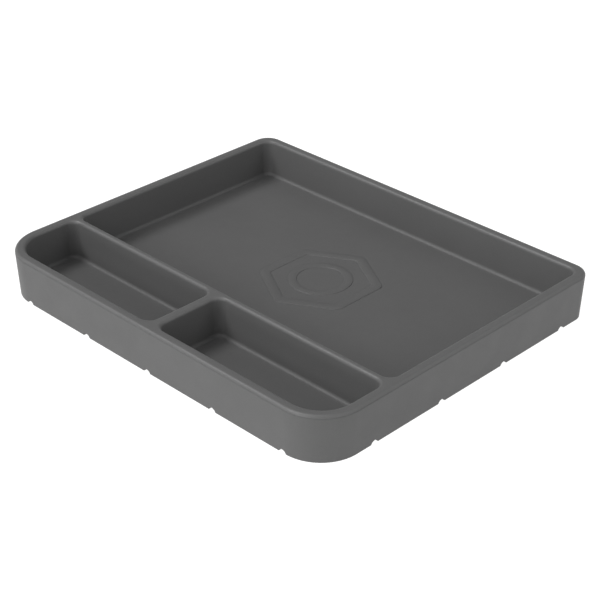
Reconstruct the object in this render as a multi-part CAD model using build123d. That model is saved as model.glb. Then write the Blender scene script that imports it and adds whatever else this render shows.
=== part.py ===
from build123d import *
import os
from math import radians, tan

# A soft tray for sorting small parts: one silicone moulding with a main compartment
# and two pockets along its front edge.
#
# Millimetres. X runs along the front edge, Y from front to back, Z up. The origin is
# on the base plane, under the middle of the tray.
#
# The moulding is modelled whole, then divided where its features meet: walls, rim,
# dividers and floors. The divided pieces share faces and leave no gap.

# Outside. The walls lean outwards, so the tray is widest just below the rim's rounding.
base_length = 289.5
base_width = 241.5
height = 31.75
outer_draft = 2.5
front_corner_radius = 28.0
back_corner_radius = 10.5

# Compartments. Widths are measured at the top of the tray, before the edges are rounded.
rim_width = 7.15
long_divider_width = 4.85
cross_divider_width = 6.95
pocket_depth = 50.2
inner_draft = 2.0
inner_corner_radius = 6.8
floor_thickness = 5.0

# Edges.
edge_radius = 2.35
floor_radius = 2.5

# Parting line: a fine groove round the outside, where the rim leaves the walls.
parting_height = 29.8
groove_width = 0.2
groove_depth = 0.18

# Channels under the base, a square grid of shallow arches that shows as notches.
channel_radius = 2.9
channel_sink = 0.75
channel_pitch = 57.5
first_channel_x = -115.5
channels_in_x = 5
first_channel_y = -78.1
channels_in_y = 4

# Emblem: a nut outline raised on the main floor, with sloping edges.
emblem_height = 0.4
emblem_slope = 0.35
nut_across_flats = 73.0
nut_band = 7.0
nut_corner_radius = 7.0
thread_outer_radius = 21.5
thread_band = 6.0

# Division into named pieces.
divider_stub = inner_corner_radius + 1.0
corner_reach = 25.0
clear = 10.0

# Worked out from the sizes above.
top_spread = height * tan(radians(outer_draft))
top_half_x = base_length / 2 + top_spread
top_half_y = base_width / 2 + top_spread
mouth_x = top_half_x - rim_width
mouth_y = top_half_y - rim_width
pocket_back = -mouth_y + pocket_depth
main_front = pocket_back + long_divider_width
pocket_inner_x = cross_divider_width / 2
pocket_corner_radius = front_corner_radius + top_spread - rim_width
cavity_depth = height - floor_thickness
floor_shrink = cavity_depth * tan(radians(inner_draft))
main_centre_y = (main_front + mouth_y) / 2

# The base and each compartment's mouth: left, front, right, back, and the corner radii
# in the order front left, front right, back right, back left.
base_sides = (-base_length / 2, -base_width / 2, base_length / 2, base_width / 2)
base_radii = [front_corner_radius] * 2 + [back_corner_radius] * 2
main_mouth = (-mouth_x, main_front, mouth_x, mouth_y)
main_radii = [inner_corner_radius] * 4
left_mouth = (-mouth_x, -mouth_y, -pocket_inner_x, pocket_back)
left_radii = [pocket_corner_radius] + [inner_corner_radius] * 3
right_mouth = (pocket_inner_x, -mouth_y, mouth_x, pocket_back)
right_radii = [inner_corner_radius, pocket_corner_radius] + [inner_corner_radius] * 2


def outline(rectangle, radii, inset=0.0):
    """A rounded rectangle as a face, drawn inside the given one by the inset."""
    left, front, right, back = rectangle
    left, front = left + inset, front + inset
    right, back = right - inset, back - inset
    corners = [(left, front), (right, front), (right, back), (left, back)]
    return make_face(FilletPolyline(*corners, radius=[r - inset for r in radii], close=True))


def box_between(low, high):
    """A plain block from its lowest corner to its highest."""
    size = [b - a for a, b in zip(low, high)]
    return Pos(*low) * Box(*size, align=(Align.MIN, Align.MIN, Align.MIN))


def outside():
    """The tray's outside, solid, with its walls leaning outwards."""
    return extrude(outline(base_sides, base_radii), height, taper=-outer_draft)


def cavity(mouth, radii):
    """The hollow of one compartment, narrowing downwards, with a rounded floor edge."""
    top = Pos(Z=height) * outline(mouth, radii)
    hollow = extrude(top, -cavity_depth, taper=inner_draft)
    return fillet(hollow.edges().group_by(Axis.Z)[0], floor_radius)


def floor_plate(mouth, radii):
    """The flat part of a compartment's floor, down to the base."""
    inset = floor_shrink + floor_radius
    return extrude(outline(mouth, radii, inset), floor_thickness)


def parting_groove():
    """The band cut away all round at the parting line."""
    wall_spread = parting_height * tan(radians(outer_draft))
    core = extrude(outline(base_sides, base_radii, groove_depth - wall_spread), groove_width)
    band = Box(2 * top_half_x + clear, 2 * top_half_y + clear, groove_width)
    low = Pos(Z=parting_height - groove_width / 2)
    return Pos(Z=parting_height) * band - low * core


def base_channels():
    """The arched channels under the base, running front to back and side to side."""
    channels = []
    for number in range(channels_in_x):
        x = first_channel_x + number * channel_pitch
        along_y = Rot(90, 0, 0) * Cylinder(channel_radius, 2 * top_half_y)
        channels.append(Pos(x, 0, -channel_sink) * along_y)
    for number in range(channels_in_y):
        y = first_channel_y + number * channel_pitch
        along_x = Rot(0, 90, 0) * Cylinder(channel_radius, 2 * top_half_x)
        channels.append(Pos(0, y, -channel_sink) * along_x)
    return channels


def moulding():
    """The whole tray in one piece."""
    tray = outside()
    tray -= cavity(main_mouth, main_radii)
    tray -= cavity(left_mouth, left_radii)
    tray -= cavity(right_mouth, right_radii)
    tray = fillet(tray.edges().group_by(Axis.Z)[-1], edge_radius)
    tray -= parting_groove()
    return tray - base_channels()


def divide(tray):
    """The tray's named pieces, cut where its features meet."""
    pieces = {}
    plates = {
        "main_floor": floor_plate(main_mouth, main_radii),
        "left_pocket_floor": floor_plate(left_mouth, left_radii),
        "right_pocket_floor": floor_plate(right_mouth, right_radii),
    }
    frame = tray
    for name, plate in plates.items():
        pieces[name] = tray & plate
        frame -= plate

    cross_reach = pocket_inner_x + divider_stub
    cross_back = pocket_back - divider_stub
    long_end = mouth_x - divider_stub
    blocks = {
        "long_divider": box_between(
            (-long_end, cross_back, 0), (long_end, main_front + clear, height)
        ),
        "cross_divider": box_between(
            (-cross_reach, -mouth_y + divider_stub, 0), (cross_reach, cross_back, height)
        ),
    }
    for name, block in blocks.items():
        pieces[name] = frame & block
        frame -= block

    under_rim = box_between(
        (-top_half_x, -top_half_y, 0), (top_half_x, top_half_y, parting_height)
    )
    pieces["rim"] = frame - under_rim
    walls = frame & under_rim
    for name, quarter in wall_quarters().items():
        pieces[name] = walls & quarter
    return pieces


def wall_quarters():
    """One block for each wall, mitred through the tray's corners."""
    x, y = top_half_x, top_half_y
    inner_x, inner_y = x - corner_reach, y - corner_reach
    corners = {
        "front_wall": [(-x, -y), (x, -y), (inner_x, -inner_y), (-inner_x, -inner_y)],
        "back_wall": [(x, y), (-x, y), (-inner_x, inner_y), (inner_x, inner_y)],
        "left_wall": [(-x, y), (-x, -y), (-inner_x, -inner_y), (-inner_x, inner_y)],
        "right_wall": [(x, -y), (x, y), (inner_x, inner_y), (inner_x, -inner_y)],
    }
    return {
        name: extrude(make_face(Polyline(*points, close=True)), parting_height)
        for name, points in corners.items()
    }


def nut_outline(inset):
    """A hexagon with rounded corners, one of them pointing to the back."""
    nut = RegularPolygon(nut_across_flats / 2 - inset, 6, major_radius=False, rotation=30)
    return fillet(nut.vertices(), nut_corner_radius - inset / 2)


def raised_band(outer, inner):
    """A flat band between two outlines, with both its top edges sloping."""
    band = extrude(outer - inner, emblem_height)
    return chamfer(band.edges().group_by(Axis.Z)[-1], emblem_slope)


def emblem():
    """The raised nut outline: a hexagonal band with a round one inside it."""
    hexagon = raised_band(nut_outline(0), nut_outline(nut_band))
    thread = raised_band(Circle(thread_outer_radius), Circle(thread_outer_radius - thread_band))
    return Pos(0, main_centre_y, floor_thickness) * (hexagon + thread)


def main():
    pieces = divide(moulding())
    pieces["floor_emblem"] = emblem()
    os.makedirs("parts", exist_ok=True)
    for name, piece in pieces.items():
        export_step(piece, f"parts/{name}.step")


main()
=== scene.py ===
import math

import bmesh
import bpy
from mathutils import Matrix, Vector


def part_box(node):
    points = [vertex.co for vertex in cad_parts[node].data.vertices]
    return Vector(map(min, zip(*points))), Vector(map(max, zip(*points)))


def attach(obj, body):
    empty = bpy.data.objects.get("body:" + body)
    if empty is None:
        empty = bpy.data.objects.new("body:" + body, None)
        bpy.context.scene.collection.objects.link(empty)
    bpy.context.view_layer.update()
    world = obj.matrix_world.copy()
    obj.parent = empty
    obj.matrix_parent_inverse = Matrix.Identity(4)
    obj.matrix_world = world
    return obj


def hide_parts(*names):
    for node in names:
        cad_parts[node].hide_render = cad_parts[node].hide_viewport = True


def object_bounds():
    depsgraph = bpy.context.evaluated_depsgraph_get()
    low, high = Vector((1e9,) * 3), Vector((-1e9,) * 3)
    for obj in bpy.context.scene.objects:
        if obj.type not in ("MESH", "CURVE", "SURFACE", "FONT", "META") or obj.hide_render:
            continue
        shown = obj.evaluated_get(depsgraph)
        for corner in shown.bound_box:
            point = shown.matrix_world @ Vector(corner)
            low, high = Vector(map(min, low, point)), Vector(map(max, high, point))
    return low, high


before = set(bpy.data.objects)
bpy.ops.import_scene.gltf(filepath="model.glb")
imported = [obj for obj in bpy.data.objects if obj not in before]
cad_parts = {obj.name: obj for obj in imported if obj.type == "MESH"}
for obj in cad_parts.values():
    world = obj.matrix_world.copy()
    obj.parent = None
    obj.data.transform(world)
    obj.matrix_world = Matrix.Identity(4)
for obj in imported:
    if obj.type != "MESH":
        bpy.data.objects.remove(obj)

# Looks for the silicone parts tray. The frame says where its named regions are; each is
# rebuilt here as a finer mesh, with smooth roundings, in one moulded silicone.
# Metres, X along the front edge, Y to the back, Z up.
MM = 0.001

# Shape of the moulding. Insets are measured in plan, inwards from the base or the mouth.
OUTER_DRAFT = math.radians(2.5)
INNER_DRAFT = math.radians(2.0)
FRONT_CORNER_RADIUS = 28.0 * MM
BACK_CORNER_RADIUS = 10.5 * MM
INNER_CORNER_RADIUS = 6.8 * MM
RIM_WIDTH = 7.15 * MM
EDGE_RADIUS = 2.35 * MM
FLOOR_RADIUS = 2.5 * MM
GROOVE_WIDTH = 0.2 * MM
GROOVE_DEPTH = 0.18 * MM

# Channels under the base.
CHANNEL_RADIUS = 2.9 * MM
CHANNEL_SINK = 0.75 * MM
CHANNEL_PITCH = 57.5 * MM
FIRST_CHANNEL_X = -115.5 * MM
CHANNELS_IN_X = 5
FIRST_CHANNEL_Y = -78.1 * MM
CHANNELS_IN_Y = 4

# Emblem: a nut outline, a hexagonal band with a round one inside it.
NUT_CORNER_RADIUS = 7.0 * MM
NUT_BAND = 7.0 * MM
THREAD_RADIUS = 21.5 * MM
THREAD_BAND = 6.0 * MM
EMBLEM_SLOPE = 0.35 * MM

# Division between the walls, rim and dividers.
CORNER_REACH = 25.0 * MM
CLEAR = 10.0 * MM

# Fineness. An odd number of corner steps puts each mitre in the middle of a facet.
CORNER_STEPS = 25
EDGE_STEPS = 12
UNDER_GROOVE_STEPS = 2
CHANNEL_STEPS = 96
EMBLEM_CORNER_STEPS = 12
THREAD_STEPS = 120
SLOPE_STEPS = 6
HOLDING_STRIP = 0.05 * MM
SHARP_ANGLE = math.radians(35)
WELD = 0.001 * MM

# Silicone. Tints are shares of its grey.
SILICONE_GREY = 0.08
SILICONE_ROUGHNESS = 0.55
SILICONE_IOR = 1.41
CLOUD_SIZE = 45.0 * MM
CLOUD_TINT = 0.025
SPECK_SIZE = 0.9 * MM
SPECK_TINT = 0.03
PATCH_SIZE = 14.0 * MM
PATCH_ROUGHNESS = 0.04
# Patches on the rim. They set both its rubbed smoothness and its painted light.
RIM_WEAR_AND_LIGHT_SIZE = 9.0 * MM
RIM_WEAR_AND_LIGHT_LEAST = 0.7
# Painted light: the top of the rim is painted paler to stand in for the light that falls on it.
RIM_PAINTED_LIGHT = 0.12
WEAR_ROUGHNESS = -0.12
GRAIN_SIZE = 0.45 * MM
GRAIN_DEPTH = 0.02 * MM
RIPPLE_SIZE = 8.0 * MM
RIPPLE_DEPTH = 0.02 * MM
NOISE_LOW = 0.3
NOISE_HIGH = 0.7

# Camera.
CAMERA_AIM = Vector((23.01, -14.67, 15.94)) * MM
CAMERA_DISTANCE = 974.6 * MM
CAMERA_YAW = math.radians(44.749)
CAMERA_TILT = math.radians(30.344)
CAMERA_ROLL = math.radians(0.104)
CAMERA_LENS = 93.52
SENSOR_WIDTH = 36.0

# Studio.
WHITE = (1, 1, 1, 1)
WORLD_LIGHT = 0.21
# Soft lights: name, azimuth from the front, elevation and width in degrees, and strength.
SOFT_LIGHTS = [
    ("key_light", 315, 53, 20, 2.02),
    ("top_light", 337, 78, 20, 0.52),
    ("front_light", 0, 28, 20, 1.24),
    ("low_front_fill", 0, 4, 15, 0.50),
    ("right_fill", 88, 15, 40, 0.74),
    ("back_right_light", 135, 40, 40, 0.55),
]
FLOOR_REACH = 10.0
BACKDROP_HEIGHT = 1.7
# The floor and the backdrop glow nearly white, so their own grey is dark and shows little shadow.
STUDIO_COLOUR = (0.15, 0.15, 0.15, 1)
STUDIO_ROUGHNESS = 0.9
STUDIO_GLOW = 0.98

# Worked out from the frame.
cad_low, cad_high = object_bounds()
HEIGHT = cad_high.z
FLOOR_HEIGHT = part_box("main_floor")[1].z
PARTING_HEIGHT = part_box("rim")[0].z
OUTER_TANGENT = EDGE_RADIUS * math.tan((math.pi / 2 + OUTER_DRAFT) / 2)
MOUTH_TANGENT = EDGE_RADIUS * math.tan((math.pi / 2 - INNER_DRAFT) / 2)
FLOOR_TANGENT = FLOOR_RADIUS * math.tan((math.pi / 2 - INNER_DRAFT) / 2)
TOP_SPREAD = HEIGHT * math.tan(OUTER_DRAFT)
FLOOR_SHRINK = (HEIGHT - FLOOR_HEIGHT) * math.tan(INNER_DRAFT)
PLATE_INSET = FLOOR_SHRINK + FLOOR_RADIUS


def grown(box, by):
    """A box's sides in plan, moved outwards: left, front, right, back."""
    low, high = box
    return (low.x - by, low.y - by, high.x + by, high.y + by)


# Sides and corner radii, in the order front left, front right, back right, back left.
# The tray is widest where its edge rounding faces straight out.
BASE = grown((cad_low, cad_high), OUTER_TANGENT - EDGE_RADIUS - TOP_SPREAD)
BASE_RADII = [FRONT_CORNER_RADIUS] * 2 + [BACK_CORNER_RADIUS] * 2
POCKET_CORNER_RADIUS = FRONT_CORNER_RADIUS + TOP_SPREAD - RIM_WIDTH
SMALL = INNER_CORNER_RADIUS
COMPARTMENTS = {
    "main_floor": [SMALL] * 4,
    "left_pocket_floor": [POCKET_CORNER_RADIUS] + [SMALL] * 3,
    "right_pocket_floor": [SMALL, POCKET_CORNER_RADIUS] + [SMALL] * 2,
}


def steps(count):
    """Evenly spaced fractions from 0 to 1."""
    return [step / count for step in range(count + 1)]


def rounded(sides, radii, inset, height):
    """A ring round a rounded rectangle, drawn inside the given one."""
    left, front, right, back = sides
    corners = [(left, front, 1, 1), (right, front, -1, 1), (right, back, -1, -1), (left, back, 1, -1)]
    ring = []
    for number, (x, y, inward_x, inward_y) in enumerate(corners):
        radius = radii[number]
        middle = Vector((x + inward_x * radius, y + inward_y * radius, height))
        for share in steps(CORNER_STEPS):
            angle = math.pi / 2 * (number + 2 + share)
            ring.append(middle + (radius - inset) * Vector((math.cos(angle), math.sin(angle), 0)))
    return ring


def skinned(mesh, rings, closed=False):
    """Quads between each ring and the next. Gives back each ring's vertices."""
    rows = [[mesh.verts.new(point) for point in ring] for ring in rings]
    pairs = list(zip(rows, rows[1:]))
    if closed:
        pairs.append((rows[-1], rows[0]))
    for first, second in pairs:
        for number in range(len(first)):
            after = (number + 1) % len(first)
            mesh.faces.new((first[number], first[after], second[after], second[number]))
    return rows


def capped(mesh, rings):
    """A closed body through the rings, with a flat face at each end."""
    rows = skinned(mesh, rings)
    mesh.faces.new(list(reversed(rows[0])))
    mesh.faces.new(rows[-1])


def finished(mesh):
    """The mesh data of a closed bmesh, facing outwards."""
    bmesh.ops.recalc_face_normals(mesh, faces=mesh.faces)
    data = bpy.data.meshes.new("moulding")
    mesh.to_mesh(data)
    mesh.free()
    return data


def outer_profile():
    """The outside from the base up to the flat of the rim, as (inset, height)."""
    middle_inset = OUTER_TANGENT - TOP_SPREAD
    middle_height = HEIGHT - EDGE_RADIUS

    def edge(angle):
        inset = middle_inset - EDGE_RADIUS * math.sin(angle)
        return (inset, middle_height + EDGE_RADIUS * math.cos(angle))

    low, high = PARTING_HEIGHT - GROOVE_WIDTH / 2, PARTING_HEIGHT + GROOVE_WIDTH / 2
    low_angle, high_angle = (math.acos((z - middle_height) / EDGE_RADIUS) for z in (low, high))
    wall_angle = math.pi / 2 + OUTER_DRAFT
    groove_inset = GROOVE_DEPTH - PARTING_HEIGHT * math.tan(OUTER_DRAFT)
    under = [edge(wall_angle + (low_angle - wall_angle) * share) for share in steps(UNDER_GROOVE_STEPS)]
    over = [edge(high_angle * (1 - share)) for share in steps(EDGE_STEPS)]
    groove = [(groove_inset, low), (groove_inset, high)]
    return [(0, 0)] + under + groove + over + [(middle_inset + HOLDING_STRIP, HEIGHT)]


def cavity_profile():
    """One compartment from the flat of the rim down to its floor, as (inset, height)."""
    wall_angle = math.pi / 2 - INNER_DRAFT
    floor_inset = FLOOR_SHRINK + FLOOR_TANGENT
    profile = [(-MOUTH_TANGENT - HOLDING_STRIP, HEIGHT)]
    for share in steps(EDGE_STEPS):
        angle = wall_angle * share
        inset = EDGE_RADIUS * math.sin(angle) - MOUTH_TANGENT
        profile.append((inset, HEIGHT - EDGE_RADIUS * (1 - math.cos(angle))))
    for share in steps(EDGE_STEPS):
        angle = INNER_DRAFT + wall_angle * share
        inset = floor_inset - FLOOR_RADIUS * math.cos(angle)
        profile.append((inset, FLOOR_HEIGHT + FLOOR_RADIUS * (1 - math.sin(angle))))
    return profile


def whole_tray():
    """The tray as one closed mesh, without its channels."""
    mesh = bmesh.new()
    rows = skinned(mesh, [rounded(BASE, BASE_RADII, *place) for place in outer_profile()])
    mesh.faces.new(list(reversed(rows[0])))
    borders = [rows[-1]]
    for floor, radii in COMPARTMENTS.items():
        mouth = grown(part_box(floor), PLATE_INSET)
        rows = skinned(mesh, [rounded(mouth, radii, *place) for place in cavity_profile()])
        mesh.faces.new(rows[-1])
        borders.append(rows[0])
    sides = [
        mesh.edges.get((border[number - 1], border[number]))
        for border in borders
        for number in range(len(border))
    ]
    bmesh.ops.triangle_fill(mesh, edges=sides, use_beauty=True, normal=(0, 0, 1))
    return finished(mesh)


def prism(outlines, low, high):
    """Closed prisms over outlines in plan."""
    mesh = bmesh.new()
    for outline in outlines:
        capped(mesh, [[(x, y, z) for x, y in outline] for z in (low, high)])
    return finished(mesh)


def rods(places, along_x):
    """Round rods that cut the channels, side by side under the base."""
    mesh = bmesh.new()
    reach = cad_high.x + CLEAR
    for place in places:
        ends = []
        for end in (-reach, reach):
            ring = []
            for share in steps(CHANNEL_STEPS)[:-1]:
                angle = 2 * math.pi * share
                across = place + CHANNEL_RADIUS * math.cos(angle)
                height = CHANNEL_RADIUS * math.sin(angle) - CHANNEL_SINK
                ring.append((end, across, height) if along_x else (across, end, height))
            ends.append(ring)
        capped(mesh, ends)
    return finished(mesh)


def cut(data, operation, cutter):
    """The mesh after a boolean operation with the cutter."""
    body = bpy.data.objects.new("body", data)
    tool = bpy.data.objects.new("tool", cutter)
    for item in (body, tool):
        bpy.context.scene.collection.objects.link(item)
    modifier = body.modifiers.new("cut", "BOOLEAN")
    modifier.operation = operation
    modifier.object = tool
    modifier.solver = "EXACT"
    depsgraph = bpy.context.evaluated_depsgraph_get()
    result = bpy.data.meshes.new_from_object(body.evaluated_get(depsgraph))
    for item in (body, tool):
        bpy.data.objects.remove(item)
    return result


def rectangle(left, front, right, back):
    """A rectangle's corners in plan, anticlockwise."""
    return [(left, front), (right, front), (right, back), (left, back)]


def wall_quarters():
    """An outline for each wall, mitred through the tray's corners."""
    x, y = cad_high.x + CLEAR, cad_high.y + CLEAR
    inner_x, inner_y = cad_high.x - CORNER_REACH, cad_high.y - CORNER_REACH
    return {
        "front_wall": [(-x, -y), (x, -y), (inner_x, -inner_y), (-inner_x, -inner_y)],
        "back_wall": [(x, y), (-x, y), (-inner_x, inner_y), (inner_x, inner_y)],
        "left_wall": [(-x, y), (-x, -y), (-inner_x, -inner_y), (-inner_x, inner_y)],
        "right_wall": [(x, -y), (x, y), (inner_x, inner_y), (inner_x, -inner_y)],
    }


def channelled_tray():
    """The whole tray, with the channels cut into its base."""
    x_places = [FIRST_CHANNEL_X + number * CHANNEL_PITCH for number in range(CHANNELS_IN_X)]
    y_places = [FIRST_CHANNEL_Y + number * CHANNEL_PITCH for number in range(CHANNELS_IN_Y)]
    tray = cut(whole_tray(), "DIFFERENCE", rods(x_places, along_x=False))
    return cut(tray, "DIFFERENCE", rods(y_places, along_x=True))


def floor_plates():
    """An outline in plan for the flat part of each compartment's floor."""
    plates = {}
    for floor, radii in COMPARTMENTS.items():
        mouth = grown(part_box(floor), PLATE_INSET)
        plates[floor] = [point[:2] for point in rounded(mouth, radii, PLATE_INSET, 0)]
    return plates


def divider_outlines():
    """Outlines in plan for the long divider, the cross divider, and the two as one."""
    long_low, long_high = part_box("long_divider")
    cross_low, cross_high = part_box("cross_divider")
    far = long_high.y + CLEAR
    long_outline = rectangle(long_low.x, long_low.y, long_high.x, far)
    cross_outline = rectangle(cross_low.x, cross_low.y, cross_high.x, long_low.y)
    joined_outline = [
        (cross_low.x, cross_low.y),
        (cross_high.x, cross_low.y),
        (cross_high.x, long_low.y),
        (long_high.x, long_low.y),
        (long_high.x, far),
        (long_low.x, far),
        (long_low.x, long_low.y),
        (cross_low.x, long_low.y),
    ]
    return long_outline, cross_outline, joined_outline


def divided():
    """The tray's named pieces, as closed meshes that meet face to face."""
    below, above = -CLEAR, HEIGHT + CLEAR
    tray = channelled_tray()
    plates = floor_plates()
    pieces = {}
    for floor, plate in plates.items():
        pieces[floor] = cut(tray, "INTERSECT", prism([plate], below, above))
    surround = cut(tray, "DIFFERENCE", prism(plates.values(), below, above))

    long_outline, cross_outline, joined_outline = divider_outlines()
    pieces["long_divider"] = cut(surround, "INTERSECT", prism([long_outline], below, above))
    pieces["cross_divider"] = cut(surround, "INTERSECT", prism([cross_outline], below, above))
    shell = cut(surround, "DIFFERENCE", prism([joined_outline], below, above))

    all_round = rectangle(*grown((cad_low, cad_high), CLEAR))
    pieces["rim"] = cut(shell, "INTERSECT", prism([all_round], PARTING_HEIGHT, above))
    for wall, quarter in wall_quarters().items():
        pieces[wall] = cut(shell, "INTERSECT", prism([quarter], below, PARTING_HEIGHT))
    return pieces


def emblem():
    """The raised nut outline on the main floor: a hexagonal band and a round one."""
    low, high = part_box("floor_emblem")
    middle = (low + high) / 2
    rise = high.z - low.z
    half_across = (high.x - low.x) / 2
    mesh = bmesh.new()

    def hexagon(inset, height):
        corner_radius = NUT_CORNER_RADIUS - inset / 2
        reach = (half_across - inset - corner_radius) / math.cos(math.pi / 6)
        ring = []
        for corner in range(6):
            facing = math.pi / 3 * corner + math.pi / 6
            centre = Vector((math.cos(facing), math.sin(facing), 0)) * reach
            for share in steps(EMBLEM_CORNER_STEPS):
                angle = facing + math.pi / 3 * (share - 0.5)
                point = centre + corner_radius * Vector((math.cos(angle), math.sin(angle), 0))
                ring.append((middle.x + point.x, middle.y + point.y, height))
        return ring

    def circle(inset, height):
        radius = THREAD_RADIUS - inset
        angles = [2 * math.pi * share for share in steps(THREAD_STEPS)[:-1]]
        return [(middle.x + radius * math.cos(a), middle.y + radius * math.sin(a), height) for a in angles]

    for outline, band in ((hexagon, NUT_BAND), (circle, THREAD_BAND)):
        slope = [
            (EMBLEM_SLOPE * share, low.z + rise * (1 - math.cos(math.pi * share)) / 2)
            for share in steps(SLOPE_STEPS)
        ]
        over = slope + [(band - inset, height) for inset, height in reversed(slope)]
        skinned(mesh, [outline(inset, height) for inset, height in over], closed=True)
    return finished(mesh)


def show(node, data, material):
    """Shows the finer mesh in place of a node of the frame."""
    mesh = bmesh.new()
    mesh.from_mesh(data)
    bmesh.ops.remove_doubles(mesh, verts=mesh.verts, dist=WELD)
    bmesh.ops.dissolve_degenerate(mesh, edges=mesh.edges, dist=WELD)
    mesh.to_mesh(data)
    mesh.free()
    data.shade_smooth()
    data.set_sharp_from_angle(angle=SHARP_ANGLE)
    data.materials.clear()
    data.materials.append(material)
    piece = bpy.data.objects.new("moulded_" + node, data)
    bpy.context.scene.collection.objects.link(piece)
    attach(piece, "root")
    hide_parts(node)


class Shading:
    """A material's node tree, with short ways to add the nodes that it uses."""

    def __init__(self, name):
        self.material = bpy.data.materials.new(name)
        self.material.use_nodes = True
        self.tree = self.material.node_tree
        self.shader = self.tree.nodes["Principled BSDF"]
        self.position = self.tree.nodes.new("ShaderNodeTexCoord").outputs["Object"]

    def give(self, socket, value):
        """Sets a socket to a plain number, or links another node's value to it."""
        if isinstance(value, (int, float)):
            socket.default_value = value
        else:
            self.tree.links.new(value, socket)

    def noise(self, size, detail=2.0):
        """Noise from 0 to 1 whose patches are about the given size."""
        texture = self.tree.nodes.new("ShaderNodeTexNoise")
        texture.inputs["Scale"].default_value = 1 / size
        texture.inputs["Detail"].default_value = detail
        self.tree.links.new(self.position, texture.inputs["Vector"])
        return texture.outputs["Fac"]

    def varied(self, size, amount, detail=2.0):
        """Noise with patches of the given size, from minus the amount to plus the amount."""
        return self.ranged(self.noise(size, detail), NOISE_LOW, NOISE_HIGH, -amount, amount)

    def ranged(self, value, low, high, to_low, to_high):
        """A value moved from one range to another, held at its ends."""
        span = self.tree.nodes.new("ShaderNodeMapRange")
        span.inputs["From Min"].default_value = low
        span.inputs["From Max"].default_value = high
        span.inputs["To Min"].default_value = to_low
        span.inputs["To Max"].default_value = to_high
        self.tree.links.new(value, span.inputs["Value"])
        return span.outputs["Result"]

    def combined(self, operation, first, second):
        """Two values added or multiplied, either of them a plain number."""
        step = self.tree.nodes.new("ShaderNodeMath")
        step.operation = operation
        for socket, value in zip(step.inputs, (first, second)):
            self.give(socket, value)
        return step.outputs["Value"]

    def height(self):
        """Height above the base."""
        split = self.tree.nodes.new("ShaderNodeSeparateXYZ")
        self.tree.links.new(self.position, split.inputs["Vector"])
        return split.outputs["Z"]

    def grey(self, value):
        """A grey of the given brightness, as a colour."""
        colour = self.tree.nodes.new("ShaderNodeCombineColor")
        for channel in ("Red", "Green", "Blue"):
            self.tree.links.new(value, colour.inputs[channel])
        return colour.outputs["Color"]

    def bumped(self, layers):
        """A normal roughened by layers of (value, depth)."""
        normal = None
        for value, depth in layers:
            bump = self.tree.nodes.new("ShaderNodeBump")
            bump.inputs["Distance"].default_value = depth
            self.tree.links.new(value, bump.inputs["Height"])
            if normal:
                self.tree.links.new(normal, bump.inputs["Normal"])
            normal = bump.outputs["Normal"]
        return normal

    def set(self, name, value):
        """Gives one input of the shader its value."""
        self.give(self.shader.inputs[name], value)


def silicone():
    """Moulded silicone: dark and matt, with a fine mould grain, faint cloudy patches and
    specks of pigment, a rim rubbed a little smoother by hands, and painted light that makes the top of the
    rim paler."""
    shading = Shading("moulded_silicone")
    on_rim = shading.ranged(shading.height(), HEIGHT - EDGE_RADIUS, HEIGHT, 0.0, 1.0)
    # Patches on the rim, shared by its rubbed smoothness and its painted light.
    rim_wear_and_light_noise = shading.noise(RIM_WEAR_AND_LIGHT_SIZE, detail=4.0)
    rim_wear_and_painted_light = shading.ranged(rim_wear_and_light_noise, NOISE_LOW, NOISE_HIGH, RIM_WEAR_AND_LIGHT_LEAST, 1.0)
    rim_wear_and_painted_light = shading.combined("MULTIPLY", on_rim, rim_wear_and_painted_light)

    # Painted light: the rim's colour is made paler towards its top, as if light fell on it.
    tint = shading.combined("MULTIPLY", rim_wear_and_painted_light, RIM_PAINTED_LIGHT)
    tint = shading.combined("ADD", tint, shading.varied(CLOUD_SIZE, CLOUD_TINT, detail=3.0))
    tint = shading.combined("ADD", tint, shading.varied(SPECK_SIZE, SPECK_TINT))
    shade = shading.combined("MULTIPLY", shading.combined("ADD", tint, 1.0), SILICONE_GREY)
    shading.set("Base Color", shading.grey(shade))

    roughness = shading.combined("MULTIPLY", rim_wear_and_painted_light, WEAR_ROUGHNESS)
    roughness = shading.combined("ADD", roughness, shading.varied(PATCH_SIZE, PATCH_ROUGHNESS))
    shading.set("Roughness", shading.combined("ADD", roughness, SILICONE_ROUGHNESS))
    shading.set("IOR", SILICONE_IOR)

    ripple = shading.noise(RIPPLE_SIZE)
    grain = shading.noise(GRAIN_SIZE, detail=3.0)
    shading.set("Normal", shading.bumped([(ripple, RIPPLE_DEPTH), (grain, GRAIN_DEPTH)]))
    return shading.material


def add_camera():
    """The camera, aimed at the tray from its front right corner."""
    camera = bpy.data.objects.new("camera", bpy.data.cameras.new("camera"))
    camera.data.lens = CAMERA_LENS
    camera.data.sensor_width = SENSOR_WIDTH
    turn = (
        Matrix.Rotation(CAMERA_YAW, 4, "Z")
        @ Matrix.Rotation(math.pi / 2 - CAMERA_TILT, 4, "X")
        @ Matrix.Rotation(CAMERA_ROLL, 4, "Z")
    )
    backwards = turn.to_3x3() @ Vector((0, 0, 1))
    camera.matrix_world = Matrix.Translation(CAMERA_AIM + CAMERA_DISTANCE * backwards) @ turn
    bpy.context.scene.collection.objects.link(camera)
    bpy.context.scene.camera = camera


def add_world():
    """Even light from all round."""
    world = bpy.data.worlds.new("studio")
    world.use_nodes = True
    background = world.node_tree.nodes["Background"]
    background.inputs["Color"].default_value = WHITE
    background.inputs["Strength"].default_value = WORLD_LIGHT
    bpy.context.scene.world = world


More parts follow.
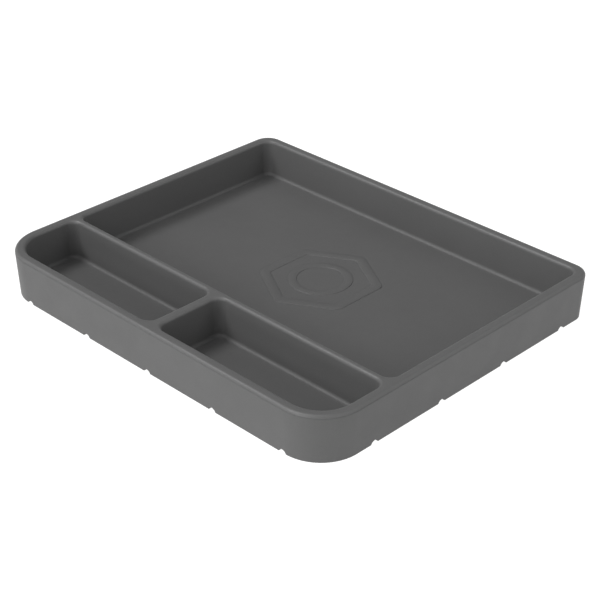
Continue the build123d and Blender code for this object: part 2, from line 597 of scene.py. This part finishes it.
def add_soft_light(name, azimuth, elevation, width, strength):
    """A wide soft light. Azimuth 0 is in front of the tray and 90 at its right."""
    light = bpy.data.lights.new(name, "SUN")
    light.energy = strength
    light.angle = math.radians(width)
    turn, rise = math.radians(azimuth), math.radians(elevation)
    towards = Vector((math.sin(turn) * math.cos(rise), -math.cos(turn) * math.cos(rise), math.sin(rise)))
    lamp = bpy.data.objects.new(name, light)
    lamp.rotation_euler = towards.to_track_quat("Z", "Y").to_euler()
    bpy.context.scene.collection.objects.link(lamp)


def glowing_white():
    """The studio's material, which glows white as a light table does."""
    material = bpy.data.materials.new("studio_white")
    material.use_nodes = True
    shader = material.node_tree.nodes["Principled BSDF"]
    shader.inputs["Base Color"].default_value = STUDIO_COLOUR
    shader.inputs["Roughness"].default_value = STUDIO_ROUGHNESS
    shader.inputs["Emission Color"].default_value = WHITE
    shader.inputs["Emission Strength"].default_value = STUDIO_GLOW
    return material


def staged(name, mesh, material):
    """An object of the studio, which isn't part of the tray."""
    data = bpy.data.meshes.new(name)
    mesh.to_mesh(data)
    mesh.free()
    data.materials.append(material)
    item = bpy.data.objects.new(name, data)
    bpy.context.scene.collection.objects.link(item)
    return item


def add_floor_and_backdrop():
    """A plain floor, with a backdrop far off all round that hides where it ends."""
    white = glowing_white()
    floor = bmesh.new()
    bmesh.ops.create_grid(floor, x_segments=1, y_segments=1, size=FLOOR_REACH)
    staged("floor", floor, white)

    wall = bmesh.new()
    sides = rectangle(-FLOOR_REACH, -FLOOR_REACH, FLOOR_REACH, FLOOR_REACH)
    skinned(wall, [[(x, y, z) for x, y in sides] for z in (0, BACKDROP_HEIGHT)])
    backdrop = staged("backdrop", wall, white)
    # The low lights shine in through the backdrop.
    backdrop.visible_shadow = False


add_camera()
add_world()
for soft_light in SOFT_LIGHTS:
    add_soft_light(*soft_light)
add_floor_and_backdrop()
bpy.context.scene.view_settings.view_transform = "Standard"

material = silicone()
pieces = divided()
pieces["floor_emblem"] = emblem()
for node, data in pieces.items():
    show(node, data, material)
